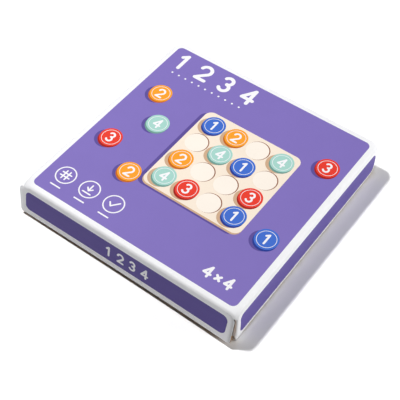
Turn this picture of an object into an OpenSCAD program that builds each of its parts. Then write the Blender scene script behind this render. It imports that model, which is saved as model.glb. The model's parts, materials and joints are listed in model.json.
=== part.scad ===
// Boxed number-placing game: a folded card lid over a folded card tray, a card riser,
// a two-layer wooden board with a square grid of round pockets, and a set of wooden discs.
// Millimetres. The origin is the middle of the tray's underside, +Z is up,
// and the lid's front flap faces -Y. Every disc lies in its pocket and the lid is on.

/* [Discs] */
// Diameter of a playing disc
disc_d = 41; // [32:0.5:46]
// Thickness of a playing disc
disc_t = 10; // [7:0.5:14]
// Radius that softens both rims of a disc
disc_rim_r = 1.6; // [0.5:0.1:2.5]

/* [Board] */
// Clearance of a disc in its pocket, on the diameter
pocket_clear = 1; // [0.4:0.1:2]
// Wood left between two neighbouring pockets
pocket_rib = 5; // [3:0.5:9]
// Wood left between an outer pocket and the edge of the board
board_margin = 6.5; // [5:0.5:14]
// Radius of the four corners of the board, seen from above
board_corner_r = 14; // [4:1:20]
// Thickness of the face sheet, which is the depth of a pocket
face_t = 3; // [2:0.5:5]
// Thickness of the backing sheet, the floor of the pockets
backing_t = 3; // [2:0.5:6]

/* [Card] */
// Thickness of the fluted card, and the outside radius of its folds
card_t = 1.5; // [1:0.1:2.5]
// Length of a corner tab from its fold to its free end
tab_len = 24; // [14:1:40]
// Slant of a corner tab's top and bottom edges towards the free end
tab_slant = 4; // [1:0.5:8]

/* [Riser] */
// Height of the riser's legs, from the tray floor to the deck
leg_h = 9.5; // [5:0.5:20]
// Gap between the riser and the tray around it
riser_gap = 0.5; // [0.3:0.1:1.5]

/* [Box] */
// Gap between the board and the tray's corner tabs
board_clear = 1.2; // [0.6:0.1:3]
// Gap all round between the tray and the lid that slides over it
lid_gap = 0.8; // [0.4:0.1:2]
// Gap between the tray's upper edges and the lid's top panel
seat_gap = 0.3; // [0.2:0.1:1]
// Free height between the discs and the closed lid
headroom = 6; // [5.5:0.5:15]
// Height of the lid's lower edge above the table
lid_foot = 2; // [1:0.5:6]
// Gap at the crease between the lid's top panel and its front flap
crease_gap = 0.2; // [0.1:0.1:0.5]
// How far the lower edge of the front flap stands out from the box
flap_out = 4.7; // [1:0.1:12]

/* [Hidden] */
$fn = 64;
cells = 4;
colour_count = 4;

// Plan sizes, from the discs outwards
pocket_d = disc_d + pocket_clear;
pitch = pocket_d + pocket_rib;
board_side = cells * pocket_d + (cells - 1) * pocket_rib + 2 * board_margin;
tray_in_y = board_side + 2 * board_clear + 2 * card_t;
tray_out_y = tray_in_y + 2 * card_t;
lid_side = tray_out_y + 2 * (lid_gap + 2 * card_t);
tray_out_x = lid_side - 2 * (lid_gap + card_t);
tray_in_x = tray_out_x - 2 * card_t;
riser_x = tray_in_x - 2 * riser_gap;
riser_y = tray_in_y - 2 * (card_t + riser_gap);

// Heights, from the table upwards
deck_z = card_t + leg_h;
board_z = deck_z + card_t;
pocket_z = board_z + backing_t;
disc_top = pocket_z + disc_t;
lid_under = disc_top + headroom;
tray_wall_h = lid_under - seat_gap - card_t;
lid_wall_h = lid_under - lid_foot;
flap_h = lid_under - crease_gap - lid_foot;
flap_lean = asin(flap_out / flap_h);

// Colour of the disc in each pocket, row by row from the back: each colour comes
// once in every row, every column and every quarter of the board
solution = [
    [0, 1, 2, 3],
    [2, 3, 0, 1],
    [1, 0, 3, 2],
    [3, 2, 1, 0]
];
disc_names = ["blue_disc", "orange_disc", "red_disc", "mint_disc"];
disc_colours = ["royalblue", "orange", "tomato", "mediumaquamarine"];

// Name of the disc of colour c in row r
function disc_node(c, r) = str(disc_names[c], "_", r + 1);

// Column of the disc of colour c in row r
function disc_column(c, r) = search(c, solution[r])[0];

// Centre of a pocket along X, from its column, and along Y, from its row
function pocket_x(column) = (column - (cells - 1) / 2) * pitch;
function pocket_y(row) = ((cells - 1) / 2 - row) * pitch;

// Flat strip of card, inner edge on the X axis, with its two outer corners rounded
module soft_strip(w, t) {
    difference() {
        translate([-w / 2, 0]) square([w, t]);
        for (side = [0, 1]) mirror([side, 0]) translate([w / 2 - t, 0]) difference() {
            square([t, t]);
            circle(t);
        }
    }
}

// Lying panel whose four upper edges are rounded where its walls fold down
module folded_panel(x, y) {
    intersection() {
        rotate([90, 0, 0]) linear_extrude(y, center = true) soft_strip(x, card_t);
        rotate([90, 0, 90]) linear_extrude(x, center = true) soft_strip(y, card_t);
    }
}

// Upright side wall for +X, rounded at both ends where its corner tabs fold in
module side_wall(outer_x, length, z, h) {
    translate([outer_x - card_t, 0, z]) linear_extrude(h) rotate(-90) soft_strip(length, card_t);
}

// Upright wall across the box for -Y, between square ends
module cross_wall(x, outer_y, z, h) {
    translate([-x / 2, -outer_y, z]) cube([x, card_t, h]);
}

// The four tabs that fold in from the ends of two side walls and lie behind the cross walls
module corner_tabs(in_x, out_y, z, h) {
    for (sx = [0, 1], sy = [0, 1]) mirror([sx, 0, 0]) mirror([0, sy, 0])
        translate([in_x, -out_y + card_t, z]) rotate([90, 0, 0]) linear_extrude(card_t) polygon([
            [0, 0],
            [-tab_len, tab_slant],
            [-tab_len, h - tab_slant],
            [0, h]
        ]);
}

module lid_top_panel() {
    color("slateblue") translate([0, 0, lid_under]) folded_panel(lid_side, lid_side);
}

// The flap hangs from the crease along its upper outer edge and leans out from the corner tabs
module lid_front_flap() {
    color("darkslateblue")
        translate([0, -lid_side / 2, lid_under - crease_gap])
        rotate([-flap_lean, 0, 0])
        translate([-lid_side / 2, 0, -flap_h])
        cube([lid_side, card_t, flap_h]);
}

module lid_rear_wall() {
    color("darkslateblue") mirror([0, 1, 0]) cross_wall(lid_side, lid_side / 2, lid_foot, lid_wall_h);
}

module lid_right_wall() {
    color("slateblue") side_wall(lid_side / 2, lid_side - 2 * card_t, lid_foot, lid_wall_h);
}

module lid_left_wall() {
    mirror([1, 0, 0]) lid_right_wall();
}

module lid_corner_tabs() {
    color("white") corner_tabs(lid_side / 2 - card_t, lid_side / 2 - card_t, lid_foot, lid_wall_h);
}

module tray_floor_panel() {
    color("burlywood") translate([0, 0, card_t]) mirror([0, 0, 1]) folded_panel(tray_out_x, tray_out_y);
}

module tray_front_wall() {
    color("tan") cross_wall(tray_out_x, tray_out_y / 2, card_t, tray_wall_h);
}

module tray_rear_wall() {
    mirror([0, 1, 0]) tray_front_wall();
}

module tray_right_wall() {
    color("burlywood") side_wall(tray_out_x / 2, tray_in_y, card_t, tray_wall_h);
}

module tray_left_wall() {
    mirror([1, 0, 0]) tray_right_wall();
}

module tray_corner_tabs() {
    color("wheat") corner_tabs(tray_in_x / 2, tray_in_y / 2, card_t, tray_wall_h);
}

module riser_deck() {
    color("peru") translate([0, 0, deck_z]) folded_panel(riser_x, riser_y);
}

module riser_front_leg() {
    color("sienna") cross_wall(riser_x, riser_y / 2, card_t, leg_h);
}

module riser_rear_leg() {
    mirror([0, 1, 0]) riser_front_leg();
}

module riser_right_leg() {
    color("peru") side_wall(riser_x / 2, riser_y - 2 * card_t, card_t, leg_h);
}

module riser_left_leg() {
    mirror([1, 0, 0]) riser_right_leg();
}

// Outline of both sheets of the board
module board_outline() {
    straight = board_side - 2 * board_corner_r;
    square([board_side, straight], center = true);
    square([straight, board_side], center = true);
    for (sx = [-1, 1], sy = [-1, 1]) translate([sx, sy] * straight / 2) circle(board_corner_r);
}

module board_backing() {
    color("navajowhite") translate([0, 0, board_z]) linear_extrude(backing_t) board_outline();
}

// Face sheet with a round pocket for every disc
module board_face() {
    color("antiquewhite") translate([0, 0, pocket_z]) linear_extrude(face_t) difference() {
        board_outline();
        for (c = [0 : cells - 1], r = [0 : cells - 1])
            translate([pocket_x(c), pocket_y(r)]) circle(d = pocket_d);
    }
}

// Disc with rounded rims, standing on the floor of its pocket
module disc(c, r) {
    flat_r = disc_d / 2 - disc_rim_r;
    color(disc_colours[c]) translate([pocket_x(disc_column(c, r)), pocket_y(r), pocket_z])
        rotate_extrude() {
            square([flat_r, disc_t]);
            translate([0, disc_rim_r]) square([disc_d / 2, disc_t - 2 * disc_rim_r]);
            for (z = [disc_rim_r, disc_t - disc_rim_r]) translate([flat_r, z]) circle(disc_rim_r);
        }
}

lid_top_panel();
lid_front_flap();
lid_rear_wall();
lid_left_wall();
lid_right_wall();
lid_corner_tabs();
tray_floor_panel();
tray_front_wall();
tray_rear_wall();
tray_left_wall();
tray_right_wall();
tray_corner_tabs();
riser_deck();
riser_front_leg();
riser_rear_leg();
riser_left_leg();
riser_right_leg();
board_backing();
board_face();
for (c = [0 : colour_count - 1], r = [0 : cells - 1])
    disc(c, r);
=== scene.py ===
# Boxed number-placing game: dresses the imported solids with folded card, print, wood and paint.
import json
import math

import bmesh
import bpy
import numpy as np
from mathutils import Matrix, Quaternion, Vector


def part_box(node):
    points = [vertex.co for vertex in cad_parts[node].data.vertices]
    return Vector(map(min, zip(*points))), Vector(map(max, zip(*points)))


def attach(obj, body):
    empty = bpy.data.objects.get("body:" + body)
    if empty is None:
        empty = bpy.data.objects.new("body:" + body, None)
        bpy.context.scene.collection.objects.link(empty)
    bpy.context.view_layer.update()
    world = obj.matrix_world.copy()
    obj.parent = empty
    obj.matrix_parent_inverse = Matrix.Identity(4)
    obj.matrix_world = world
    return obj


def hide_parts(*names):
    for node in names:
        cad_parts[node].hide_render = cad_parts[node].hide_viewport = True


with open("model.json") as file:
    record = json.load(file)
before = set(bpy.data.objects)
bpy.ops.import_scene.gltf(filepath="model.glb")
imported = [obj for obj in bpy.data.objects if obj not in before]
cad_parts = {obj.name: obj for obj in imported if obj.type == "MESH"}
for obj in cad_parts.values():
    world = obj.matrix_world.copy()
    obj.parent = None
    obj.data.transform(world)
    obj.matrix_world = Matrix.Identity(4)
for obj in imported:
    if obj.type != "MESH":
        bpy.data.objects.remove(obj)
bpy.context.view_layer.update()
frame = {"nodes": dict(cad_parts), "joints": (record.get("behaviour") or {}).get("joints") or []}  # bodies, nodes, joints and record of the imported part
mm = 0.001
print("frame loaded, nodes:", len(frame["nodes"]))

# Camera
photoCamera = {
    "place": (0.29667, -0.42339, 0.63426),
    "aim": (0.01977, -0.03356, 0.033),  # the middle of the picture, on the lid's top
    "rollDegrees": 1.135,
    "focalPixels": 963.6,
    "framePixels": 400,
    "sensorWidth": 36.0,
    "clipStart": 0.01,
}


# A new object in the scene
def addObject(name, data):
    made = bpy.data.objects.new(name, data)
    bpy.context.scene.collection.objects.link(made)
    return made


# Camera that looks from its place to its aim, rolled about that line; its lens is the focal length as
# a share of the frame, times the sensor's width
def addCamera(spec):
    data = bpy.data.cameras.new("photoCamera")
    data.sensor_width = spec["sensorWidth"]
    data.lens = spec["focalPixels"] / spec["framePixels"] * spec["sensorWidth"]
    data.clip_start = spec["clipStart"]
    camera = addObject("photoCamera", data)
    sight = Vector(spec["aim"]) - Vector(spec["place"])
    roll = Quaternion((0, 0, 1), math.radians(spec["rollDegrees"]))
    camera.rotation_mode = "QUATERNION"
    camera.rotation_quaternion = sight.to_track_quat("-Z", "Y") @ roll
    camera.location = spec["place"]
    bpy.context.scene.camera = camera


addCamera(photoCamera)
print("camera placed")


# Shader maths: a wire is one output socket, and an expression on wires adds Math nodes
class Wire:
    def __init__(self, tree, socket=None):
        self.tree = tree
        self.socket = socket

    # any node: its settings first, then the values or links of its sockets
    def node(self, kind, sockets=None, settings=None, out=0):
        made = self.tree.nodes.new("ShaderNode" + kind)
        for key, value in (settings or {}).items():
            setattr(made, key, value)
        for key, value in (sockets or {}).items():
            if isinstance(value, Wire):
                self.tree.links.new(value.socket, made.inputs[key])
            else:
                made.inputs[key].default_value = value
        return None if out is None else Wire(self.tree, made.outputs[out])

    # one Math node on numbers and wires
    def maths(self, operation, *values):
        return self.node("Math", dict(enumerate(values)), {"operation": operation})

    def __add__(self, other):
        return self.maths("ADD", self, other)

    def __sub__(self, other):
        return self.maths("SUBTRACT", self, other)

    def __rsub__(self, other):
        return self.maths("SUBTRACT", other, self)

    def __mul__(self, other):
        return self.maths("MULTIPLY", self, other)

    __radd__, __rmul__ = __add__, __mul__

    def sine(self):
        return self.maths("SINE", self)

    # 0 below low, 1 above high, smooth between
    def between(self, low, high):
        smooth = {"interpolation_type": "SMOOTHSTEP"}
        return self.node("MapRange", {0: self, 1: low, 2: high}, smooth)

    def noise(self, where, scale, detail, roughness=0.55):
        values = {"Vector": where, "Scale": scale, "Detail": detail, "Roughness": roughness}
        return self.node("TexNoise", values)

    # object coordinates, all three or one axis alone
    def place(self):
        return self.node("TexCoord", out="Object")

    def axis(self, number):
        return self.node("SeparateXYZ", {0: self.place()}, out=number)

    # noise with its own scale on each axis
    def grain(self, factors, detail, roughness=0.55):
        where = self.node("Mapping", {"Vector": self.place(), "Scale": factors})
        return self.noise(where, 1.0, detail, roughness)

    # colour at a share of the way from the first to the second
    def mixed(self, share, first, second):
        return self.node("Mix", {0: share, 6: first, 7: second}, {"data_type": "RGBA"}, out=2)


# Colour as it is picked on a screen (0 to 255), turned into the linear values that shaders use
def screenColour(red, green, blue):
    picked = np.array([red, green, blue]) / 255.0
    linear = np.where(picked <= 0.04045, picked / 12.92, ((picked + 0.055) / 1.055) ** 2.4)
    return (*linear.tolist(), 1.0)


# Red, green and blue times a factor
def dimmed(colour, factor):
    return (*(v * factor for v in colour[:3]), 1.0)


# An empty material, and a wire to start its nodes from
def startFinish(name):
    material = bpy.data.materials.new(name)
    material.use_nodes = True
    material.node_tree.nodes.clear()
    return material, Wire(material.node_tree)


# A finish by its recipe, which gives the height of the relief, the bump's values and the sockets
def makeFinish(name, recipe, *values, **named):
    material, start = startFinish(name)
    height, bump, sockets = recipe(start, *values, **named)
    relief = {"Height": height, "Strength": bump["strength"], "Distance": bump["depth"]}
    sockets["Normal"] = start.node("Bump", relief)
    surface = start.node("BsdfPrincipled", sockets, out="BSDF")
    start.node("OutputMaterial", {"Surface": surface}, out=None)
    return material


# Coated face of fluted card: the flutes show as a faint washboard, the paper as fine mottling
cardFace = {
    "flutePitch": 3.2 * mm,
    "fluteShare": 0.30,
    "fibreScale": 1500.0,
    "mottleScale": 38.0,
    "scuffScale": 160.0,
    "scuffRange": (0.58, 0.86),
    "roughness": 0.48,
    "shade": 0.93,  # the darkest mottling against the plain colour
    "bump": {"strength": 0.10, "depth": 0.12 * mm},
}


# Sine wave with the pitch of the flutes
def fluteWave(along):
    return (along * (2 * math.pi / cardFace["flutePitch"])).sine()


def cardFaceRecipe(start, colour, roughness=cardFace["roughness"], shade=cardFace["shade"]):
    where = start.place()
    flutes = fluteWave(start.axis(0))
    fibres = start.noise(where, cardFace["fibreScale"], 2.0)
    mottle = start.noise(where, cardFace["mottleScale"], 5.0, 0.6)
    scuffs = start.noise(where, cardFace["scuffScale"], 6.0, 0.72).between(*cardFace["scuffRange"])
    tone = (mottle * 0.55 + fibres * 0.25 + scuffs * 0.3).between(0.15, 0.85)
    return flutes * cardFace["fluteShare"] + fibres, cardFace["bump"], {
        "Base Color": start.mixed(tone, colour, dimmed(colour, shade)),
        "Roughness": roughness + mottle * 0.14 + scuffs * 0.12,
        "Specular IOR Level": 0.12,
        "Coat Weight": 0.02,
        "Coat Roughness": 0.35,
    }


# Bare brown side of the card: long paper fibres, flecks and the flutes' stripes
kraftSide = {
    "light": screenColour(196, 160, 118),
    "dark": screenColour(160, 122, 82),
    "fleck": screenColour(112, 80, 50),
    "fibreStretch": (260.0, 1400.0, 900.0),
    "fleckStretch": (500.0, 1700.0, 1200.0),
    "cloudScale": 30.0,
    "fluteShare": 0.35,
    "bump": {"strength": 0.25, "depth": 0.15 * mm},
}


def kraftRecipe(start):
    flutes = fluteWave(start.axis(0))
    fibres = start.grain(kraftSide["fibreStretch"], 4.0, 0.65)
    cloud = start.noise(start.place(), kraftSide["cloudScale"], 4.0)
    flecks = start.grain(kraftSide["fleckStretch"], 1.0).between(0.68, 0.74)
    paper = start.mixed((fibres * 0.6 + cloud * 0.4 + flutes * 0.05).between(0.3, 0.7),
                        kraftSide["light"], kraftSide["dark"])
    return flutes * kraftSide["fluteShare"] + fibres, kraftSide["bump"], {
        "Base Color": start.mixed(flecks * 0.55, paper, kraftSide["fleck"]),
        "Roughness": 0.78 + fibres * 0.14,
        "Specular IOR Level": 0.3,
    }


# Cut edge of the card: brown, with the flutes' hollows in a row painted dark as their shade; above the
# given heights the face paper is pressed over it on the left, and on the right it is painted dark as
# the slit's shade
cutEdge = {
    # on the flap: above these heights, face paper at the left end and painted shade at the right end
    "flapUpper": (10 * mm, 14 * mm),
    "noneUpper": (1.0, 1.1),  # heights far above the box, so that the whole edge is bare
    "leftToRight": (-50 * mm, 50 * mm),
    "tornScale": 900.0,
    "light": screenColour(172, 132, 90),
    # painted shade in the flutes' hollows
    "hollowShade": screenColour(84, 58, 36),
    "paper": screenColour(236, 236, 238),
    # painted shade: the upper part of the flap's right cut edge, darkened as the shade of the slit
    # beside it
    "paintedSlitShade": screenColour(64, 58, 56),
}


def cutEdgeRecipe(start, upperHeights):
    x, y, height = [start.axis(number) for number in range(3)]
    waves = fluteWave(x) + fluteWave(y) + fluteWave(height)
    torn = start.noise(start.place(), cutEdge["tornScale"], 3.0)
    hollows = (waves * 0.5 + torn * 0.8).between(0.35, 0.95)
    # the flutes' hollows painted dark as their shade
    bare = start.mixed(hollows * 0.7, cutEdge["light"], cutEdge["hollowShade"])
    # face paper towards the left, painted shade of the slit towards the right
    paperAndShade = start.mixed(x.between(*cutEdge["leftToRight"]), cutEdge["paper"], cutEdge["paintedSlitShade"])
    return torn - hollows, kraftSide["bump"], {
        "Base Color": start.mixed(height.between(*upperHeights), bare, paperAndShade),
        "Roughness": 0.8 + torn * 0.15,
        "Specular IOR Level": 0.25,
    }


# Pale plywood: long grain with soft year lines and short pores
paleWood = {
    "face": (screenColour(246, 229, 204), screenColour(226, 198, 160)),  # light and dark
    "backing": (screenColour(240, 220, 190), screenColour(214, 184, 144)),
    "bump": {"strength": 0.22, "depth": 0.12 * mm},
    "warpStretch": (6.0, 22.0, 22.0),
    "grainStretch": (9.0, 160.0, 160.0),
    "poreStretch": (120.0, 2600.0, 2600.0),
}


def woodRecipe(start, light, dark):
    warp = start.grain(paleWood["warpStretch"], 2.0)
    grain = start.grain(paleWood["grainStretch"], 5.0, 0.6)
    lines = ((grain * 7.0 + warp * 9.0) * math.pi).sine() * 0.5 + 0.5
    pores = start.grain(paleWood["poreStretch"], 2.0).between(0.62, 0.72)
    tone = (lines * 0.45 + grain * 0.55).between(0.2, 0.95)
    timber = start.mixed(tone * 0.85, light, dark)
    return lines * 0.3 - pores, paleWood["bump"], {
        "Base Color": start.mixed(pores * 0.5, timber, dimmed(dark, 0.55)),
        "Roughness": 0.50 + grain * 0.18,
        "Coat Weight": 0.08,
        "Coat Roughness": 0.4,
    }


# Paint on wood: satin, slightly uneven, with the grain telegraphing through and rubbed rims
discPaint = {
    "bump": {"strength": 0.18, "depth": 0.10 * mm},
    "wood": screenColour(226, 196, 158),
    "numeral": screenColour(250, 249, 245),
    "grainStretch": (70.0, 1100.0, 1100.0),
    "peelScale": 700.0,
    "cloudScale": 60.0,
    "rubScale": 420.0,
}


def paintRecipe(start, colour):
    where = start.place()
    grain = start.grain(discPaint["grainStretch"], 4.0)
    orangePeel = start.noise(where, discPaint["peelScale"], 2.0)
    cloud = start.noise(where, discPaint["cloudScale"], 4.0)
    rim = start.node("Attribute", settings={"attribute_name": "rim"}, out="Fac")
    rubbed = (rim * start.noise(where, discPaint["rubScale"], 5.0, 0.7)).between(0.52, 0.66)
    body = start.mixed((cloud * 0.7 + grain * 0.3).between(0.25, 0.8), colour, dimmed(colour, 0.86))
    return grain * 0.5 + orangePeel, discPaint["bump"], {
        "Base Color": start.mixed(rubbed * 0.75, body, discPaint["wood"]),
        "Roughness": 0.40 + cloud * 0.16 + rubbed * 0.2,
        "Specular IOR Level": 0.24,
        "Coat Weight": 0.06,
        "Coat Roughness": 0.28,
    }


# Inks of the print, picked on a screen
screenInks = {
    "purple": (130, 114, 188),
    # the top's purple ink again, darkened as painted shade for the side walls and the flap
    "purpleWithPaintedShade": (99, 86, 155),
    "shade": (92, 78, 150),
    "white": (248, 247, 250),
    "cream": (249, 234, 216),
    "tan": (207, 172, 140),
    "brown": (140, 84, 58),
    "floor": (253, 243, 231),
    "blue": (66, 110, 205),
    "orange": (250, 162, 44),
    "red": (232, 62, 46),
    "mint": (168, 214, 204),
    "blueSide": (36, 56, 142),
    "orangeSide": (198, 104, 22),
    "redSide": (160, 28, 22),
    "mintSide": (112, 156, 146),
}
inks = {name: screenColour(*picked) for name, picked in screenInks.items()}
inkNames = list(inks)
inkFinishes = [makeFinish(f"ink.{name}", cardFaceRecipe, inks[name]) for name in inkNames]
whiteCard = makeFinish("card.white", cardFaceRecipe, screenColour(247, 247, 249), roughness=0.50)
kraftCard = makeFinish("card.kraft", kraftRecipe)
cardEdge = makeFinish("card.edge", cutEdgeRecipe, cutEdge["noneUpper"])
flapEdge = makeFinish("card.flapEdge", cutEdgeRecipe, cutEdge["flapUpper"])
faceWood = makeFinish("wood.face", woodRecipe, *paleWood["face"])
backingWood = makeFinish("wood.backing", woodRecipe, *paleWood["backing"])
discColours = ["blue", "orange", "red", "mint"]  # a disc's number is its colour's place here
paints = {colour: makeFinish(f"paint.{colour}", paintRecipe, inks[colour]) for colour in discColours}
numeralInk = makeFinish("ink.numeral", cardFaceRecipe, discPaint["numeral"], roughness=0.38, shade=0.95)
print("finishes made:", len(bpy.data.materials))

weldDistance = 0.0005 * mm
sharpDegrees = 38


# A sheet gathers grids of points; every grid keeps the number of its finish
class Sheet:
    def __init__(self):
        self.points = []
        self.faces = []
        self.finishes = []
        self.total = 0

    # faces between neighbours on a grid of rows and columns, which may close into a ring
    def grid(self, xyz, finish=0, ringRows=False, ringColumns=False, flip=False):
        rows, columns = xyz.shape[:2]
        index = np.arange(rows * columns).reshape(rows, columns) + self.total
        if ringRows:
            index = np.concatenate([index, index[:1]], axis=0)
        if ringColumns:
            index = np.concatenate([index, index[:, :1]], axis=1)
        corners = [index[:-1, :-1], index[1:, :-1], index[1:, 1:], index[:-1, 1:]]
        quads = np.stack(corners, axis=-1).reshape(-1, 4)
        self.take(xyz, quads[:, ::-1] if flip else quads, finish)

    # one face round a closed line of points
    def lid(self, line, finish=0, flip=False):
        ring = np.arange(len(line))[None, :] + self.total
        self.take(line, ring[:, ::-1] if flip else ring, finish)

    # points with their faces, all of one finish
    def take(self, xyz, faces, finish):
        self.points.append(xyz.reshape(-1, 3))
        self.faces += faces.tolist()
        self.finishes += [finish] * len(faces)
        self.total += self.points[-1].shape[0]

    # the mesh, with its doubles merged and its sharp edges marked, as a piece that rides on a body
    def piece(self, name, finishes, body, slotName, nodes=(), rim=None):
        mesh = bpy.data.meshes.new(name)
        mesh.from_pydata(np.concatenate(self.points).tolist(), [], self.faces)
        mesh.polygons.foreach_set("material_index", np.array(self.finishes, dtype=np.int32))
        for finish in finishes:
            mesh.materials.append(finish)
        if rim is not None:
            mesh.attributes.new("rim", "FLOAT", "POINT").data.foreach_set("value", rim)
        work = bmesh.new()
        work.from_mesh(mesh)
        bmesh.ops.remove_doubles(work, verts=work.verts, dist=weldDistance)
        work.to_mesh(mesh)
        work.free()
        mesh.shade_smooth()
        mesh.set_sharp_from_angle(angle=math.radians(sharpDegrees))
        obj = addObject(name, mesh)
        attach(obj, body)
        if nodes:
            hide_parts(*nodes)
        return obj


# A folded sheet as a piece with the card's thickness inwards: brown inside, cut edges round the rim
def cardPiece(sheet, name, outside, edge, body, slotName, nodes):
    obj = sheet.piece(name, [outside, kraftCard, edge], body, slotName, nodes)
    wall = obj.modifiers.new("thickness", "SOLIDIFY")
    wall.thickness = cardThick
    wall.offset = -1.0
    wall.use_even_offset = True
    wall.material_offset = 1
    wall.material_offset_rim = 2


# Points from their coordinates, one array for each axis, stretched to fit each other
def joined(*axes):
    return np.stack(np.broadcast_arrays(*axes), axis=-1)


# Arrays one after the other
def chain(*parts):
    return np.concatenate(parts)


# Points on circles round a centre, from their radii and angles
def onCircle(x, y, radius, turn):
    return x + radius * np.cos(turn), y + radius * np.sin(turn)


# 0 below 0, 1 above 1, and three squares less two cubes of the share between
def smoothStep(share):
    held = np.clip(share, 0.0, 1.0)
    return held * held * (3 - 2 * held)


# 0 up to a reach short of an end, 1 from the end on, smooth between
def riseTo(place, end, reach):
    return smoothStep((place - end) / reach + 1)


# Value at a share of the way from the first to the second of two ends
def blendEnds(ends, share):
    return ends[0] + (ends[1] - ends[0]) * share


lidLow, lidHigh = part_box("lid_top_panel")
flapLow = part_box("lid_front_flap")[0]
trayLow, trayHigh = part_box("tray_floor_panel")
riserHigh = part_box("riser_deck")[1]
cardThick = lidHigh.z - lidLow.z
creasePoint = next(j for j in frame["joints"] if j["name"] == "front_flap_crease")["pos_m"]


# Samples across a blank: the place on the flat, the share of the fold that is passed, and its side
def blankSamples(half, radius, inner, arcCount, flatCount):
    flat = half - radius
    rise = np.linspace(0.0, 1.0, arcCount + 1)[1:]
    middle = chain([-flat], np.linspace(-inner, inner, flatCount + 1), [flat])
    place = chain(rise * 0 - flat, middle, rise * 0 + flat)
    share = chain(rise[::-1], middle * 0, rise)
    return place, share, np.sign(place) * (share > 0)


# Angle round a corner, from 0 at the x side to a quarter turn at the y side, for a place that lies
# so far along both: even steps along the square outline become even steps of the angle
def cornerTurn(alongX, alongY):
    larger = np.maximum(np.maximum(alongX, alongY), 1e-12)
    return np.where(alongX >= alongY, alongY / larger, 2 - alongX / larger) * math.pi / 4


# Pulls the points of a square outline onto its rounded corners, seen from above
def roundCorners(x, y, half, radius):
    middle = half - radius
    overX = np.maximum(np.abs(x) - middle, 0)
    overY = np.maximum(np.abs(y) - middle, 0)
    both = (overX > 0) & (overY > 0)
    farther = np.maximum(overX, overY)
    turn = cornerTurn(overX, overY)
    newX = np.where(both, middle + farther * np.cos(turn), np.abs(x))
    newY = np.where(both, middle + farther * np.sin(turn), np.abs(y))
    return np.sign(x) * newX, np.sign(y) * newY


# How far a handled lid sags at its corners: a smooth fall towards each corner's point
def cornerDroop(spec, x, y):
    gaps = [np.maximum(half - np.abs(place), 0) for half, place in zip(spec["half"], (x, y))]
    away = np.hypot(*gaps)
    return spec["droop"] * smoothStep(1 - away / spec["droopReach"]) ** 2


# Panel with its folds: flat in the middle, and a quarter round of the fold's radius at each side,
# with both folds blended round the corners; ends gives each fold's last angle (-x, +x, -y, +y);
# a blank with round rear corners has them drawn in to that radius
def foldedPanel(spec, xSamples, ySamples, ends):
    (xFlat, xShare, xSide), (yFlat, yShare, ySide) = [
        tuple(v.reshape(shape) for v in samples)
        for samples, shape in ((xSamples, (-1, 1)), (ySamples, (1, -1)))
    ]
    reach = np.maximum(xShare, yShare)
    lean = cornerTurn(xShare, yShare)
    xEnd = np.where(xSide < 0, ends[0], ends[1])
    yEnd = np.where(ySide < 0, ends[2], ends[3])
    angle = reach * blendEnds((xEnd, yEnd), lean / (math.pi / 2))
    along = xFlat + yFlat
    coarse, fine = spec["rippleWaves"]
    ripple = np.sin(along * coarse + xSide * 2 + ySide) + 0.6 * np.sin(along * fine + ySide * 2)
    swell = 1 + spec["ripple"] * ripple * np.sin(math.pi * np.clip(reach, 0, 1))
    out = spec["fold"] * np.sin(angle) * swell
    x = xFlat + xSide * out * np.cos(lean)
    y = yFlat + ySide * out * np.sin(lean)
    z = spec["crown"] - spec["fold"] * (1 - np.cos(angle)) / swell
    if spec["rearRound"]:
        roundX, roundY = roundCorners(x, y, spec["half"][0], spec["rearRound"])
        x, y = np.where(y > 0, roundX, x), np.where(y > 0, roundY, y)
    return joined(x, y, z - cornerDroop(spec, x, y))


# How far a side wall stands out at a share of its height from the fold, and a place along it
def wallBow(spec, share, along):
    tuck = blendEnds(spec["tuck"], (along / spec["half"][1] + 1) / 2)
    return spec["bulge"] * np.sin(math.pi * share) - tuck * share ** 3


# Rear corner of a side wall in plan: the front fold's mirror image, or, where the panel's rear corners
# are round, the panel's own edge round the corner and then a short jog in behind the rear wall
def rearCorner(spec, panel, front, yTab):
    if not spec["rearRound"]:
        return front[::-1] * (1, -1)
    last = spec["foldArc"] + 2
    edge = chain(panel[-1, 1 - last:, :2], panel[-2:-last - 1:-1, -1, :2])
    share = np.linspace(0, 1, spec["jogSteps"] + 1)[1:]
    jogX = edge[-1, 0] - spec["jog"] * share
    jogY = edge[-1, 1] + (yTab - edge[-1, 1]) * smoothStep(share)
    return chain(edge, joined(jogX, jogY))


# Where a side wall's tab folds begin, along y
def foldStart(spec):
    return spec["half"][1] - spec["thick"] - spec["slip"] - spec["tabFold"]


# The panel's own edge above a side wall, in plan, between the tab folds
def panelSide(spec, panel):
    skipped = spec["foldArc"] + 1
    return panel[-1, skipped:-skipped, :2]


# Rows of a wall as shares of its height, from the free edge upwards
def wallShares(spec):
    return np.linspace(1, 0, spec["wallRows"] + 1)[None, :]


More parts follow.
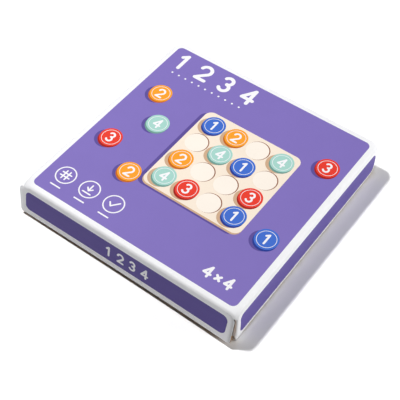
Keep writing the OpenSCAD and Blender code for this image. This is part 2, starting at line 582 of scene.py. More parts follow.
# Side wall with its two corner tabs: a path in plan that runs along the front tab, round its fold,
# along the wall and round into the rear tab, carried down from the panel's fold to the free edge;
# towards the free edge the front fold swells forwards and sinks, and the wall's ends are cut shorter
def sideWall(spec, panel):
    halfX, tabFold, inner = spec["half"][0], spec["tabFold"], foldStart(spec)
    yTab = inner + tabFold
    turn = np.linspace(-math.pi / 2, 0, spec["tabArc"] + 1)[:-1]
    reach = np.linspace(1, 0, spec["tabColumns"] + 1)[:-1]
    arc = joined(halfX - tabFold * (1 - np.cos(turn)), tabFold * np.sin(turn) - inner)
    wallX, wallY = panelSide(spec, panel).T
    corner = rearCorner(spec, panel, arc, yTab)
    frontTab = halfX - tabFold - reach * spec["tabLength"]
    rearTab = corner[-1, 0] - reach[::-1] * spec["tabLength"]
    x = chain(frontTab, arc[:, 0], wallX, corner[:, 0], rearTab)
    y = chain(reach * 0 - yTab, arc[:, 1], wallY, corner[:, 1], reach * 0 + yTab)
    taper = chain(reach, turn * 0, wallY * 0, corner[:, 0] * 0, reach[::-1])
    atCorner = np.linspace(1, 0, len(corner))
    straight = chain(reach * 0, 1 + turn * 2 / math.pi, wallY * 0 + 1, atCorner, reach * 0)
    share = wallShares(spec)
    top = (spec["crown"] - spec["fold"] - taper * spec["tabSlant"] - cornerDroop(spec, x, y))[:, None]
    atFold = riseTo(x, halfX - spec["foldBand"][0], spec["foldBand"][1])
    nearEnd = riseTo(np.abs(y), inner, spec["cutReach"]) * (taper == 0)
    cut = np.where(y < 0, *spec["endCut"]) * nearEnd
    sink = spec["frontSink"] * riseTo(-y, spec["swellEnd"], spec["sinkReach"]) * atFold
    bottom = (spec["edge"] + taper * spec["tabSlant"] + cut - sink)[:, None]
    z = blendEnds((top, bottom), share)
    bow = wallBow(spec, share, y[:, None]) * straight[:, None]
    nearFront = riseTo(-y, spec["swellEnd"], spec["swellReach"]) * atFold
    swell = spec["frontSwell"] * nearFront[:, None] * share
    return joined(x[:, None] + bow, y[:, None] - swell, z)


# Side wall without tabs: the straight strip below the panel's fold
def plainWall(spec, panel):
    heights = (spec["crown"] - spec["fold"], spec["edge"])
    return joined(spec["half"][0], panelSide(spec, panel)[:, 1:], blendEnds(heights, wallShares(spec)))


# Cross wall at -y: the panel's samples along x, out to the wall's cut ends, down to the free edge,
# which is cut shorter at both ends; between round corners the wall stops short of them
def crossWall(spec, xSamples):
    end = spec["half"][0] - spec["endGap"]
    if spec["rearRound"]:
        x = xSamples[np.abs(xSamples) < end - spec["rearRound"] - spec["cornerGap"]][:, None]
    else:
        x = chain([-end], xSamples, [end])[:, None]
    top = spec["crown"] - spec["fold"] - cornerDroop(spec, x, -spec["half"][1])
    bottom = spec["edge"] + spec["crossCut"] * riseTo(np.abs(x), end, spec["cutReach"])
    return joined(x, -spec["half"][1], blendEnds((top, bottom), wallShares(spec)))


# A whole blank folded up from one sheet; turned over for a tray, whose walls stand upwards
def foldedBlank(spec):
    half, fold = spec["half"], spec["fold"]
    counts = spec["foldArc"], spec["flatCount"]
    xSamples = blankSamples(half[0], fold, half[0] - fold - spec["foldMargin"], *counts)
    ySamples = blankSamples(half[1], fold, foldStart(spec), *counts)
    quarter = math.pi / 2
    panel = foldedPanel(spec, xSamples, ySamples, (quarter, quarter, spec["frontEnd"], quarter))
    makeWall = sideWall if spec["tabLength"] else plainWall
    leftSpec = dict(spec, frontSwell=0.0, frontSink=0.0)  # the left fold stays straight
    right, left = makeWall(spec, panel), makeWall(leftSpec, panel) * (-1, 1, 1)
    cross = crossWall(spec, xSamples[0][xSamples[1] == 0])
    parts = [(panel, False), (right, False), (left, True), (cross * (1, -1, 1), True)]
    if spec["frontWall"]:
        parts.append((cross, False))
    over = -1 if spec["turned"] else 1
    sheet = Sheet()
    for xyz, flip in parts:
        sheet.grid(xyz * (1, 1, over), flip=flip != spec["turned"])
    return sheet


# Lid: white outside, brown inside; its front panel is the flap below
lidCard = {
    "half": (lidHigh.x, lidHigh.y),
    "thick": cardThick,
    "crown": lidHigh.z,
    "edge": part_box("lid_rear_wall")[0].z,
    "fold": 2.6 * mm,
    "foldArc": 10,
    "foldMargin": 1.0 * mm,  # from the fold to the first sample on the flat
    "flatCount": 44,
    "ripple": 0.035,
    "rippleWaves": (210, 487),  # radians for each metre along the fold
    "slip": 0.25 * mm,  # room between a tab and the panel in front of it
    "tabFold": 2.0 * mm,
    "tabArc": 8,
    "rearRound": 6.6 * mm,
    "cornerGap": 1.0 * mm,  # from a round corner to the end of the rear wall
    "jog": 4.0 * mm,
    "jogSteps": 6,
    "droop": 3.0 * mm,
    "droopReach": 10.3 * mm,
    "tabLength": 22 * mm,
    "tabSlant": 4 * mm,
    "tabColumns": 12,
    "wallRows": 14,
    "bulge": 0.60 * mm,
    "tuck": (-0.60 * mm, 0.10 * mm),  # how far a side wall's free edge turns in, front and rear
    "frontSwell": 2.4 * mm,  # how far the right front fold comes forwards,
    "frontSink": 1.5 * mm,  # how far it sinks, and where along the wall both are full
    "swellEnd": 100 * mm,
    "swellReach": 50 * mm,
    "sinkReach": 14 * mm,
    "foldBand": (0.4 * mm, 1.6 * mm),  # inside the wall's plane, where both are full and their reach
    "endCut": (0.0, 2.4 * mm),  # how much shorter a side wall is at its front and rear ends
    "crossCut": 0.0,
    "cutReach": 12 * mm,
    "endGap": 0.4 * mm,
    "frontWall": False,
    "turned": False,
}
foldCentre = np.array([-lidCard["half"][1] + lidCard["fold"], lidCard["crown"] - lidCard["fold"]])
lidCard["frontEnd"] = math.atan2(foldCentre[0] - creasePoint[1], creasePoint[2] - foldCentre[1])
cardPiece(foldedBlank(lidCard), "lidShell", whiteCard, cardEdge, "lid", "printed_card",
          ["lid_top_panel", "lid_rear_wall", "lid_left_wall", "lid_right_wall", "lid_corner_tabs"])
print("lid folded, fold ends at", round(math.degrees(lidCard["frontEnd"]), 1), "degrees")

# Front flap: carries the lid's fold on from the crease, then hangs straight and leans out
flapOut, flapDrop = creasePoint[1] - flapLow.y, creasePoint[2] - flapLow.z
flapCard = {
    "leftEnd": (108.6 * mm, 106.4 * mm),  # at the crease and at the lower edge
    "rightEnd": (104.8 * mm, 105.8 * mm),
    "spread": (0.3 * mm, 2.6 * mm),  # how much farther out its lower edge is, left and right
    "edgeRise": (1.3 * mm, 3.0 * mm),  # and how much higher it hangs
    "lean": math.atan2(flapOut, flapDrop),
    "cornerRadii": (2.4 * mm, 1.6 * mm),  # lower left and lower right
    "cornerRows": 12,
    "topTaper": (0.9 * mm, 1.1 * mm),  # the ends draw in this much to the lid's round corners
    "taperReach": 3.2 * mm,
    "arcRows": 5,
    "straightRows": 26,
    "columns": 60,
}


# Point of the flap's outer face: s runs down the sheet from the crease, lift stands off the face;
# towards the lower edge the sheet spreads farther out and draws up, more at its right end,
# and towards the crease its corners sag with the lid's
def flapPlace(u, s, lift):
    fold = lidCard["fold"]
    last = math.pi / 2 - flapCard["lean"]
    angle = np.minimum(lidCard["frontEnd"] + s / fold, last)
    straight = np.maximum(s - (last - lidCard["frontEnd"]) * fold, 0)
    down = s / flapCard["length"]
    toRight = np.clip(u / (2 * lidCard["half"][0]) + 0.5, 0, 1)
    spread = blendEnds(flapCard["spread"], toRight ** 3)
    rise = blendEnds(flapCard["edgeRise"], toRight)
    y = foldCentre[0] - (fold + lift) * np.sin(angle) - straight * np.cos(last) - spread * down ** 1.3
    z = foldCentre[1] + (fold + lift) * np.cos(angle) - straight * np.sin(last) + rise * down ** 2
    z = z - cornerDroop(lidCard, u, lidCard["half"][1]) * (1 - down)
    return joined(u, y, z)


flapArc = (math.pi / 2 - flapCard["lean"] - lidCard["frontEnd"]) * lidCard["fold"]
flapHang = foldCentre[1] + lidCard["fold"] * math.sin(flapCard["lean"]) - flapLow.z
flapCard["length"] = flapArc + flapHang / math.cos(flapCard["lean"])


# Flap's outline on a grid: each row runs from the left end to the right end, and the ends
# draw in near the crease and round the two lower corners by circles
def flapSheet(spec):
    largest = max(spec["cornerRadii"])
    lower = spec["length"] - largest * (1 - np.sin(np.linspace(0, math.pi / 2, spec["cornerRows"] + 1)))
    upper = np.linspace(flapArc, spec["length"] - largest, spec["straightRows"] + 1)[:-1]
    s = chain(np.linspace(0, flapArc, spec["arcRows"] + 1)[:-1], upper, lower)
    draw = 1 - smoothStep(s / spec["taperReach"])
    ends = []
    both = (spec["leftEnd"], spec["rightEnd"])
    for end, taper, radius in zip(both, spec["topTaper"], spec["cornerRadii"]):
        depth = np.clip(s - (spec["length"] - radius), 0, radius)
        straight = blendEnds(end, s / spec["length"]) - taper * draw
        ends.append(straight - radius + np.sqrt(radius ** 2 - depth ** 2))
    share = np.linspace(0, 1, spec["columns"] + 1)[:, None]
    sheet = Sheet()
    sheet.grid(flapPlace(blendEnds((-ends[0], ends[1]), share), s[None, :], 0.0), flip=True)
    return sheet


cardPiece(flapSheet(flapCard), "frontFlap", whiteCard, flapEdge, "front_flap", "printed_card",
          ["lid_front_flap"])
print("flap folded, length", round(flapCard["length"] / mm, 2), "mm")

# Tray and riser: the same kind of blank, the tray turned over so that its walls stand up
trayCard = dict(lidCard, **{
    "half": (trayHigh.x, trayHigh.y),
    "crown": -trayLow.z,
    "edge": -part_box("tray_front_wall")[1].z,
    "fold": 2.2 * mm,
    "frontEnd": math.pi / 2,
    "slip": 0.1 * mm,
    "bulge": 0.0,
    "tuck": (0.0, 0.0),
    "frontSwell": 0.0,
    "frontSink": 0.0,
    "droop": 0.0,
    "endCut": (1.6 * mm, 1.6 * mm),
    "crossCut": 1.4 * mm,
    "rearRound": 0.0,
    "frontWall": True,
    "turned": True,
})
cardPiece(foldedBlank(trayCard), "trayShell", kraftCard, cardEdge, "tray", "kraft_card",
          ["tray_floor_panel", "tray_front_wall", "tray_rear_wall", "tray_left_wall",
           "tray_right_wall", "tray_corner_tabs"])
riserCard = dict(trayCard, **{
    "half": (riserHigh.x, riserHigh.y),
    "crown": riserHigh.z,
    "edge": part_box("riser_front_leg")[0].z,
    "tabLength": 0.0,
    "crossCut": 0.0,
    "wallRows": 5,
    "turned": False,
})
cardPiece(foldedBlank(riserCard), "riserShell", kraftCard, cardEdge, "tray", "kraft_card",
          ["riser_deck", "riser_front_leg", "riser_rear_leg", "riser_left_leg", "riser_right_leg"])
print("tray and riser folded")

# Board: a face sheet with sixteen round holes on a backing sheet
faceLow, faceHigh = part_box("board_face")
backLow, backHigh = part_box("board_backing")
discBoxes = {name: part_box(name) for name in frame["nodes"] if "_disc_" in name}
discRadius = next((high.x - low.x) / 2 for low, high in discBoxes.values())
pitch = min(abs((low + high).x) for low, high in discBoxes.values())
board = {
    "half": faceHigh.x,
    "corner": 14 * mm,
    "pocket": discRadius + 0.5 * mm,
    "softEdge": 0.8 * mm,
    "softHole": 0.5 * mm,
    "sideSteps": 14,
    "arcSteps": 5,
    "cells": 4,
    "backRings": (0.02, 0.5),  # the backing's outline is drawn in to these shares of itself
}


# Middle of a cell along one axis, from its number
def cellMiddle(number):
    return (number - (board["cells"] - 1) / 2) * pitch


# Places along one axis where cells meet, with the board's own limits
def cellMarks(limit):
    between = [cellMiddle(number - 0.5) for number in range(1, board["cells"])]
    return np.array([-limit, *between, limit])


# Even steps from mark to mark, without the last one
def stepsAlong(marks):
    count = board["sideSteps"] * (len(marks) - 1)
    return np.interp(np.arange(count) / board["sideSteps"], np.arange(len(marks)), marks)


# Points round a rectangle of the board, anticlockwise from its lower right corner, and on the
# outline's rounded corners where it reaches them
def boardRing(inset, xMarks, yMarks):
    right, top, left, bottom = map(stepsAlong, (yMarks, xMarks[::-1], yMarks[::-1], xMarks))
    x = chain(right * 0 + xMarks[-1], top, left * 0 + xMarks[0], bottom)
    y = chain(right, top * 0 + yMarks[-1], left, bottom * 0 + yMarks[0])
    return roundCorners(x, y, board["half"] - inset, board["corner"] - inset)


# Rounded edge of a sheet, carried round the outline from its top over the side to its underside
def boardEdge(low, high):
    turn = np.linspace(0, math.pi / 2, board["arcSteps"] + 1)
    insets = board["softEdge"] * (1 - np.sin(turn))
    drops = board["softEdge"] * (1 - np.cos(turn))
    rings = []
    for inset, height in zip([*insets, *insets[::-1]], [*(high - drops), *(low + drops[::-1])]):
        marks = cellMarks(board["half"] - inset)
        rings.append(joined(*boardRing(inset, marks, marks), height))
    return np.stack(rings)


# Face sheet: round every hole a ring grid runs from the cell's outline on the underside to the hole,
# up its wall, over its soft rim and out to the cell's outline on top
def boardFaceSheet():
    sheet = Sheet()
    sheet.grid(boardEdge(faceLow.z, faceHigh.z), ringColumns=True)
    marks = cellMarks(board["half"] - board["softEdge"])
    steps = board["sideSteps"]
    angle = (np.arange(4 * steps) / steps - 0.5) * math.pi / 2
    turn = np.linspace(0, math.pi / 2, board["arcSteps"] + 1)
    soft = board["softHole"]
    radii = board["pocket"] + chain([0.0], soft * (1 - np.cos(turn)))
    heights = chain([faceLow.z], faceHigh.z - soft * (1 - np.sin(turn)))
    for column in range(board["cells"]):
        for row in range(board["cells"]):
            x, y = boardRing(board["softEdge"], marks[column:column + 2], marks[row:row + 2])
            holeX, holeY = onCircle(cellMiddle(column), cellMiddle(row), radii[:, None], angle)
            z = chain([faceLow.z], heights, [faceHigh.z])[:, None]
            sheet.grid(joined(chain([x], holeX, [x]), chain([y], holeY, [y]), z), ringColumns=True)
    return sheet


# Backing sheet: the same outline, closed above and below towards its middle
def boardBackingSheet():
    sheet = Sheet()
    edge = boardEdge(backLow.z, backHigh.z)
    top = edge[:1] * np.array(board["backRings"])[:, None, None]
    top[..., 2] = backHigh.z
    bottom = top[::-1].copy()
    bottom[..., 2] = backLow.z
    sheet.grid(chain(top, edge, bottom), ringColumns=True)
    sheet.lid(top[0])
    sheet.lid(bottom[-1], flip=True)
    return sheet


boardFaceSheet().piece("boardFace", [faceWood], "board", "face_wood", ["board_face"])
boardBackingSheet().piece("boardBacking", [backingWood], "board", "backing_wood", ["board_backing"])
print("board made, pocket pitch", round(pitch / mm, 1), "mm")


# Ink of the print and the numerals
pen = {
    "film": 0.035 * mm,  # depth of the ink
    "step": 0.004 * mm,  # a stroke that crosses another lies this much above it
    "point": 0.001 * mm,  # a strip narrower than this ends in a point, without a cap
    "cornerSteps": 8,
    "capSteps": 6,
    "bowPoints": 18,
    "lineStep": 0.1,
    "boxMiddle": (0.33, 0.5),
}


# Strip along a path in the plane of a face: every point of the path goes its half-width to both sides
# along the normal, over the top and back below; place(u, v, lift) puts it on the face
def inkStrip(sheet, path, halfWidth, place, lift, finish, across=1, closed=False):
    before = np.roll(path, 1, axis=0) if closed else chain(path[:1], path[:-1])
    after = np.roll(path, -1, axis=0) if closed else chain(path[1:], path[-1:])
    tangent = after - before
    tangent = tangent / np.linalg.norm(tangent, axis=1, keepdims=True)
    normal = joined(-tangent[:, 1], tangent[:, 0])
    share = np.linspace(-1, 1, across + 1)
    side = chain(share, share[::-1])
    level = np.repeat([lift, lift - pen["film"]], across + 1)
    uv = path[:, None, :] + normal[:, None, :] * (halfWidth[:, None] * side)[..., None]
    xyz = place(uv[..., 0], uv[..., 1], np.broadcast_to(level, uv.shape[:2]))
    sheet.grid(xyz, finish, ringRows=closed, ringColumns=True)
    for end in (0, -1):
        if not closed and halfWidth[end] > pen["point"]:
            sheet.lid(xyz[end], finish, flip=end < 0)


# Rounded rectangle: straight path along its middle, half-width drawn in by a circle at both ends
def panelStrip(centre, size, radius, count=24):
    bend = radius * (1 - np.cos(np.linspace(0, math.pi / 2, pen["cornerSteps"] + 1)))
    half = size[0] / 2
    middle = np.linspace(radius - half, half - radius, count + 1)[1:-1]
    u = chain(bend - half, middle, half - bend[::-1])
    gap = np.clip(radius - (half - np.abs(u)), 0, radius)
    halfWidth = size[1] / 2 - radius + np.sqrt(radius ** 2 - gap ** 2)
    return np.array(centre) + joined(u, 0.0), halfWidth


# Round spot: path along a diameter, half-width by the circle's formula
def roundStrip(centre, radius, count=40):
    turn = np.linspace(0, math.pi, count + 1)
    return np.array(centre) + joined(-radius * np.cos(turn), 0.0), radius * np.sin(turn)


# Ring: a closed circular path of even half-width
def ringStrip(centre, radius, halfWidth, count=64):
    turn = np.arange(count) / count * 2 * math.pi
    return joined(*onCircle(*centre, radius, turn)), np.full(count, halfWidth)


# Pen stroke: a line of points with a half round added at both ends
def penStrip(points, halfWidth):
    points = np.asarray(points, dtype=float)
    turn = np.linspace(0, math.pi / 2, pen["capSteps"] + 1)[:-1]
    caps = []
    for end, before in ((0, 1), (-1, -2)):
        ray = points[end] - points[before]
        caps.append(points[end] + ray / np.linalg.norm(ray) * (halfWidth * np.cos(turn))[:, None])
    width = chain(np.sin(turn), np.ones(len(points)), np.sin(turn[::-1])) * halfWidth
    return chain(caps[0], points, caps[1][::-1]), width


# Arc of a circle between two angles in degrees
def bow(centreX, centreY, radius, start, end):
    turn = np.radians(np.linspace(start, end, pen["bowPoints"]))
    return joined(*onCircle(centreX, centreY, radius, turn))


# Pen lines of the numerals in a box 0.64 wide and 1 high
numeralLines = {
    1: [[(0.12, 0.79), (0.36, 1.0)], [(0.36, 1.0), (0.36, 0.0)]],
    2: [chain(bow(0.31, 0.70, 0.30, 168, -38), [(0.04, 0.0)]), [(0.04, 0.0), (0.62, 0.0)]],
    3: [bow(0.29, 0.755, 0.245, 152, -82), bow(0.29, 0.265, 0.265, 84, -152)],
    4: [[(0.46, 0.0), (0.46, 1.0)], [(0.46, 1.0), (0.0, 0.30)], [(0.0, 0.30), (0.64, 0.30)]],
    "times": [[(0.12, 0.22), (0.52, 0.62)], [(0.12, 0.62), (0.52, 0.22)]],
}


# The same line with points between its own, no farther apart than a step, to follow a domed face
def finerLine(line):
    line = np.asarray(line, dtype=float)
    parts = [line[:1]]
    for start, end in zip(line[:-1], line[1:]):
        count = math.ceil(np.linalg.norm(end - start) / pen["lineStep"])
        parts.append(np.linspace(start, end, count + 1)[1:])
    return np.concatenate(parts)


# A numeral's lines about the middle of its box, times its height, each a step above the one before
def drawNumeral(sheet, numeral, centre, height, weight, place, lift, finish):
    for order, line in enumerate(numeralLines[numeral]):
        points = np.array(centre) + (finerLine(line) - pen["boxMiddle"]) * height
        inkStrip(sheet, *penStrip(points, weight), place, lift + order * pen["step"], finish)


# Discs: a lathed profile with soft rims and a numeral in white ink on top
disc = {
    "rim": 1.6 * mm,
    "crown": 0.25 * mm,  # the turned top dips this much towards its rim
    "segments": 96,
    "arcSteps": 8,
    "topSteps": 6,
    "numeralHeight": 19 * mm,
    "numeralWeight": 1.7 * mm,
    "ringShare": 0.80,  # of the disc's radius, for the thin ring round the numeral
    "ringWeight": 0.45 * mm,
    "inkLift": 0.04 * mm,
}


# Half profile from the middle of the top over both rims to the middle of the underside
def discProfile(height):
    turn = np.linspace(0, math.pi / 2, disc["arcSteps"] + 1)
    flat = discRadius - disc["rim"]
    over = disc["rim"] * np.sin(turn)
    drop = disc["rim"] * (1 - np.cos(turn))
    inner = np.linspace(0, flat, disc["topSteps"] + 1)[:-1]
    low = disc["crown"] * (inner / flat) ** 2
    edge = disc["crown"] * (1 - np.sin(turn))
    radius = chain(inner, flat + over, (flat + over)[::-1], inner[::-1])
    z = chain(height - low, height - drop - edge, drop[::-1], inner * 0)
    rubbed = chain(inner * 0, np.sin(turn * 2), np.sin(turn * 2)[::-1], inner * 0)
    return radius, z, rubbed


# A disc: its profile turned round the middle of its box, with a numeral and a ring on top
def makeDisc(name, low, high):
    colour = name.split("_")[0]
    numeral = discColours.index(colour) + 1
    middle = (low + high) / 2
    radius, z, rubbed = discProfile(high.z - low.z)
    turn = np.arange(disc["segments"]) / disc["segments"] * 2 * math.pi
    x, y = onCircle(middle.x, middle.y, radius[:, None], turn)
    sheet = Sheet()
    sheet.grid(joined(x, y, low.z + z[:, None]), ringColumns=True)

    # the top falls by the crown times the square of the distance from the middle, as a share
    def onTop(u, v, lift):
        reach = np.hypot(u, v) / (discRadius - disc["rim"])
        level = high.z - disc["crown"] * reach ** 2 + lift
        return joined(middle.x + u, middle.y + v, level)

    lift = disc["inkLift"]
    drawNumeral(sheet, numeral, (0, 0), disc["numeralHeight"], disc["numeralWeight"], onTop, lift, 1)
    ring = ringStrip((0, 0), discRadius * disc["ringShare"], disc["ringWeight"], disc["segments"])
    inkStrip(sheet, *ring, onTop, lift, 1, closed=True)
    rim = np.zeros(sheet.total)
    rim[:len(radius) * disc["segments"]] = np.repeat(rubbed, disc["segments"])
    sheet.piece(name.replace("_disc_", "Disc"), [paints[colour], numeralInk], name, f"{colour}_paint",
                [name], rim=rim)


for discName, (discLow, discHigh) in discBoxes.items():
    makeDisc(discName, discLow, discHigh)
print("discs turned:", len(discBoxes))

# Print on the lid: a purple panel on every face inside a white border
lidPrint = {
    "panel": 200 * mm,
    "panelCorner": 4.7 * mm,
    "base": 0.03 * mm,
    "layer": 0.015 * mm,
    "order": {"panel": 0, "board": 1, "loose": 1, "signs": 2, "pocket": 4, "floor": 5, "disc": 6},
    "row": {"numerals": (1, 2, 3, 4), "start": (-86, 85), "step": 24, "height": 17, "weight": 1.7},
    "dots": {"start": (-86, 69), "step": 7.2, "count": 11, "radius": 0.9, "columns": 14},
    "rings": {"places": ((-82.5, -78), (-57.5, -78), (-32.5, -78)), "radius": 8.6, "line": 0.55,
              "pen": 0.65, "bar": 9.5, "barDrop": 13.4},
    "pair": {"numerals": (4, "times", 4), "start": (65.5, -85), "step": 9.5, "height": 9.5,
             "weight": 1.05},
}
picture = {
    "centre": (16, 3),
    "scale": 0.49,
    "cells": ((1, 2, 0, 4), (0, 4, 1, 0), (2, 0, 0, 3), (4, 3, 0, 1)),  # 0 leaves a pocket empty
    "loose": ((-78, 42, 2), (-58, 12, 4), (-80, -24, 3), (-44, -44, 2), (84, 56, 3), (84, -34, 1)),
    "layers": (((-3.2, -3.4), "shade"), ((0, -1.7), "tan"), ((0, 0), "cream")),  # of the board
    "pocketFloor": 0.965,  # of the pocket's radius, so that a thin crescent of its wall shows
    "pocketShift": (-0.45, -0.35),
    "raised": (0.4, 0.9),  # a disc that lies in a pocket is drawn off its middle
    "sideDrop": 2.0,  # how far the drawn side shows below a drawn disc
    "shadow": (-2.4, -1.4),
    "shadowGrowth": 1.01,
    "ringWeight": 0.22,
    "ringSteps": 48,
    "numeralHeight": 0.92,  # shares of the drawn disc's radius
    "numeralWeight": 0.085,
}
side = {
    "rightSpan": (-100.5, 98.4),
    "span": (-100, 100),
    "height": 22.6,
    "middle": 16.7,
    "corner": 5.0,
    "columns": 40,
    "rows": 12,
}


# Faces of the lid: u and v lie along the face as it is read, lift stands off it
def onLidTop(u, v, lift):
    return joined(u, v, lidCard["crown"] + lift)


# The right one follows the wall's bow, by the share of the wall's height that lies above v
def onLidRight(u, v, lift):
    wallTop = lidCard["crown"] - lidCard["fold"]
    share = (wallTop - v) / (wallTop - lidCard["edge"])
    x = lidCard["half"][0] + wallBow(lidCard, np.clip(share, 0, 1), u) + lift
    return joined(x, u, v)


# The left one is the right one's mirror image
def onLidLeft(u, v, lift):
    return onLidRight(-u, v, lift) * (-1, 1, 1)


# The rear one is read from behind, so u runs against x
def onLidRear(u, v, lift):
    return joined(-u, lidCard["half"][1] + lift, v)


# On the flap v runs up from the lower edge
def onFlap(u, v, lift):
    return flapPlace(u, flapCard["length"] - v, lift)


# Height of the ink over the card, by the order of the layers
def inkLevel(name, above=0):
    return lidPrint["base"] + lidPrint["layer"] * (lidPrint["order"][name] + above)


# Number of an ink's finish
def ink(name):
    return inkNames.index(name)


# A drawn disc: its shadow, its darker side below, its face, a thin ring and its numeral
def drawDisc(sheet, centre, radius, number, level, shadow):
    colour = discColours[number - 1]
    middle = np.array(centre)
    drop = np.array([0, -picture["sideDrop"]]) * mm
    parts = [
        (middle + np.array(picture["shadow"]) * mm + drop, radius * picture["shadowGrowth"], shadow),
        (middle + drop, radius, f"{colour}Side"),
        (middle + drop * 0.5, radius, f"{colour}Side"),
        (middle, radius, colour),
    ]
    for step, (place, size, finish) in enumerate(parts):
        inkStrip(sheet, *roundStrip(place, size), onLidTop, inkLevel(level, step), ink(finish))
    top, white = inkLevel(level, len(parts)), ink("white")
    reach, weight = radius * disc["ringShare"], picture["ringWeight"] * mm
    ring = ringStrip(middle, reach, weight, picture["ringSteps"])
    inkStrip(sheet, *ring, onLidTop, top, white, closed=True)
    height, weight = radius * picture["numeralHeight"], radius * picture["numeralWeight"]
    drawNumeral(sheet, number, middle, height, weight, onLidTop, top, white)


# The drawn board: its shadow and edge, its face, its pockets and the discs that lie in some of them
def drawBoard(sheet):
    scale = picture["scale"]
    centre = np.array(picture["centre"]) * mm
    width = 2 * board["half"] * scale
    corner = board["corner"] * scale
    hole = board["pocket"] * scale
    for step, (shift, finish) in enumerate(picture["layers"]):
        strip = panelStrip(centre + np.array(shift) * mm, (width, width), corner)
        inkStrip(sheet, *strip, onLidTop, inkLevel("board", step), ink(finish))
    for row, numbers in enumerate(picture["cells"]):
        for column, number in enumerate(numbers):
            middle = centre + np.array([cellMiddle(column), -cellMiddle(row)]) * scale
            inkStrip(sheet, *roundStrip(middle, hole), onLidTop, inkLevel("pocket"), ink("brown"))
            shifted = middle + np.array(picture["pocketShift"]) * mm
            floor = roundStrip(shifted, hole * picture["pocketFloor"])
            inkStrip(sheet, *floor, onLidTop, inkLevel("floor"), ink("floor"))
            if number:
                raised = middle + np.array(picture["raised"]) * mm
                drawDisc(sheet, raised, discRadius * scale, number, "disc", "tan")


# Rings with a small sign each: crossed lines, an arrow down to a line, a tick; a plain bar lies below
ringSigns = (
    (((-1.7, -4.4), (-1.7, 4.4)), ((1.7, -4.4), (1.7, 4.4)),
     ((-4.4, -1.7), (4.4, -1.7)), ((-4.4, 1.7), (4.4, 1.7))),
    (((0, 4.6), (0, -1.6)), ((-2.6, 1.0), (0, -1.6)),
     ((2.6, 1.0), (0, -1.6)), ((-3.8, -4.2), (3.8, -4.2))),
    (((-3.8, 0.2), (-1.2, -2.9)), ((-1.2, -2.9), (4.0, 3.4))),
)


def drawRings(sheet):
    spec = lidPrint["rings"]
    top, white = inkLevel("signs"), ink("white")
    for place, sign in zip(spec["places"], ringSigns):
        centre = np.array(place) * mm
        ring = ringStrip(centre, spec["radius"] * mm, spec["line"] * mm)
        inkStrip(sheet, *ring, onLidTop, top, white, closed=True)
        for order, line in enumerate(sign):
            stroke = penStrip(centre + np.array(line) * mm, spec["pen"] * mm)
            inkStrip(sheet, *stroke, onLidTop, top + order * pen["step"], white)
        bar = centre + (np.array([(-0.5, 0), (0.5, 0)]) * spec["bar"] - (0, spec["barDrop"])) * mm
        inkStrip(sheet, *penStrip(bar, spec["pen"] * mm), onLidTop, top, white)


# A row of numerals from its start, an even step apart
def drawRow(sheet, spec, place, lift):
    height, weight = spec["height"] * mm, spec["weight"] * mm
    for step, numeral in enumerate(spec["numerals"]):
        centre = (np.array(spec["start"]) + (step * spec["step"], 0)) * mm
        drawNumeral(sheet, numeral, centre, height, weight, place, lift, ink("white"))


# The top's panel, then what is printed over it
def drawLidTop(sheet):
    panel = panelStrip((0.0, 0.0), (lidPrint["panel"],) * 2, lidPrint["panelCorner"])
    inkStrip(sheet, *panel, onLidTop, inkLevel("panel"), ink("purple"))
    for row in ("row", "pair"):
        drawRow(sheet, lidPrint[row], onLidTop, inkLevel("signs"))
    dots = lidPrint["dots"]
    for step in range(dots["count"]):
        spot = (np.array(dots["start"]) + (step * dots["step"], 0)) * mm
        strip = roundStrip(spot, dots["radius"] * mm, dots["columns"])
        inkStrip(sheet, *strip, onLidTop, inkLevel("signs"), ink("white"))
    drawRings(sheet)
    drawBoard(sheet)
    for x, y, number in picture["loose"]:
        drawDisc(sheet, (x * mm, y * mm), discRadius * picture["scale"], number, "loose", "shade")


# The panel on a wall, between two places along it, in the top's purple ink darkened as painted shade
def drawWall(sheet, spec, span, place):
    centre = (sum(span) / 2 * mm, spec["middle"] * mm)
    size = ((span[1] - span[0]) * mm, spec["height"] * mm)
    strip = panelStrip(centre, size, side["corner"] * mm, side["columns"])
    inkStrip(sheet, *strip, place, inkLevel("panel"), ink("purpleWithPaintedShade"), across=side["rows"])


lidSheet = Sheet()
drawLidTop(lidSheet)
drawWall(lidSheet, side, side["rightSpan"], onLidRight)
for wallPlace in (onLidLeft, onLidRear):
    drawWall(lidSheet, side, side["span"], wallPlace)
lidSheet.piece("lidPrint", inkFinishes, "lid", "printed_card")

flapPrint = {
    "span": (-101.4, 99.4),
    "middle": 15.6,
    "height": 20.0,
    "row": {"numerals": (1, 2, 3, 4), "start": (-14, 15.6), "step": 12, "height": 9, "weight": 0.95},
}
flapSheetPrint = Sheet()
drawWall(flapSheetPrint, flapPrint, flapPrint["span"], onFlap)
drawRow(flapSheetPrint, flapPrint["row"], onFlap, inkLevel("panel", 1))
flapSheetPrint.piece("flapPrint", inkFinishes, "front_flap", "printed_card")
print("print laid")

# Floor, lamps and world
studio = {
    "floorSize": 6.0,
    "floorSeen": 1.30,  # the floor's paleness as the camera sees it, a little past white
    "floorBounce": 0.94,  # and as it lights the box from below
    "floorFade": (0.40, 0.90),  # between these distances the floor turns to the sky's white
    "floorRoughness": 0.6,
    "lamps": {
        "keyLamp": {"from": (-0.377, -0.044, 0.925), "distance": 1.2, "size": 0.12, "power": 11.7},
        "fillLamp": {"from": (0.80, 0.50, 0.31), "distance": 1.8, "size": 1.2, "power": 23.6},
    },
    "sky": 0.05,
    "white": (1.0, 1.0, 1.0, 1.0),
}


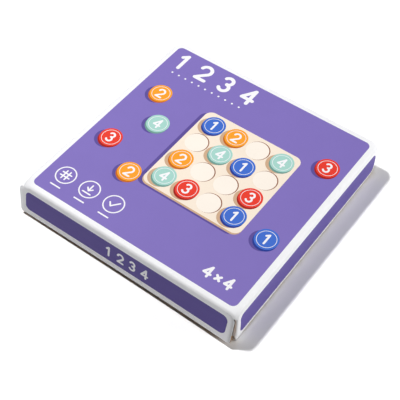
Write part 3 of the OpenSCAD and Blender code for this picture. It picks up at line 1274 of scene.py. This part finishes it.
# Rays that see the floor or sky directly, or in a reflection or through glass
def seenRays(start):
    seen = 0.0
    for name in ("Is Camera Ray", "Is Glossy Ray", "Is Transmission Ray"):
        seen = start.node("LightPath", out=name) + seen
    return seen.maths("MINIMUM", seen, 1.0)


# Square floor of diffuse paper, paler to the rays that see it and turning white far away
def addFloor():
    half = studio["floorSize"] / 2
    mesh = bpy.data.meshes.new("floor")
    corners = [(-half, -half, 0), (half, -half, 0), (half, half, 0), (-half, half, 0)]
    mesh.from_pydata(corners, [], [(0, 1, 2, 3)])
    material, start = startFinish("floor.paper")
    shades = []
    for paleness in (studio["floorBounce"], studio["floorSeen"]):
        values = {"Color": dimmed(studio["white"], paleness), "Roughness": studio["floorRoughness"]}
        shades.append(start.node("BsdfDiffuse", values))
    away = start.node("VectorMath", {0: start.place()}, {"operation": "LENGTH"}, out="Value")
    white = start.node("Emission", {"Color": studio["white"], "Strength": 1.0})
    fade = away.between(*studio["floorFade"])
    seen = start.node("MixShader", {0: fade, 1: shades[1], 2: white})
    surface = start.node("MixShader", {0: seenRays(start), 1: shades[0], 2: seen})
    start.node("OutputMaterial", {"Surface": surface}, out=None)
    mesh.materials.append(material)
    floor = addObject("floor", mesh)


# Round lamp that stands off in a direction and faces the box
def addLamp(name, spec):
    data = bpy.data.lights.new(name, "AREA")
    data.shape = "DISK"
    data.size = spec["size"]
    data.energy = spec["power"]
    lamp = addObject(name, data)
    lamp.location = Vector(spec["from"]).normalized() * spec["distance"]
    lamp.rotation_mode = "QUATERNION"
    lamp.rotation_quaternion = Vector(spec["from"]).to_track_quat("Z", "Y")


# Sky that is white to the rays that see it, and faint as a light
def addSky():
    world = bpy.data.worlds.new("sky")
    world.use_nodes = True
    world.node_tree.nodes.clear()
    start = Wire(world.node_tree)
    strength = seenRays(start) * (1.0 - studio["sky"]) + studio["sky"]
    light = start.node("Background", {"Color": studio["white"], "Strength": strength})
    start.node("OutputWorld", {"Surface": light}, out=None)
    bpy.context.scene.world = world


addFloor()
for lampName, lampSpec in studio["lamps"].items():
    addLamp(lampName, lampSpec)
addSky()
bpy.context.scene.view_settings.view_transform = "Standard"
print("studio lit")
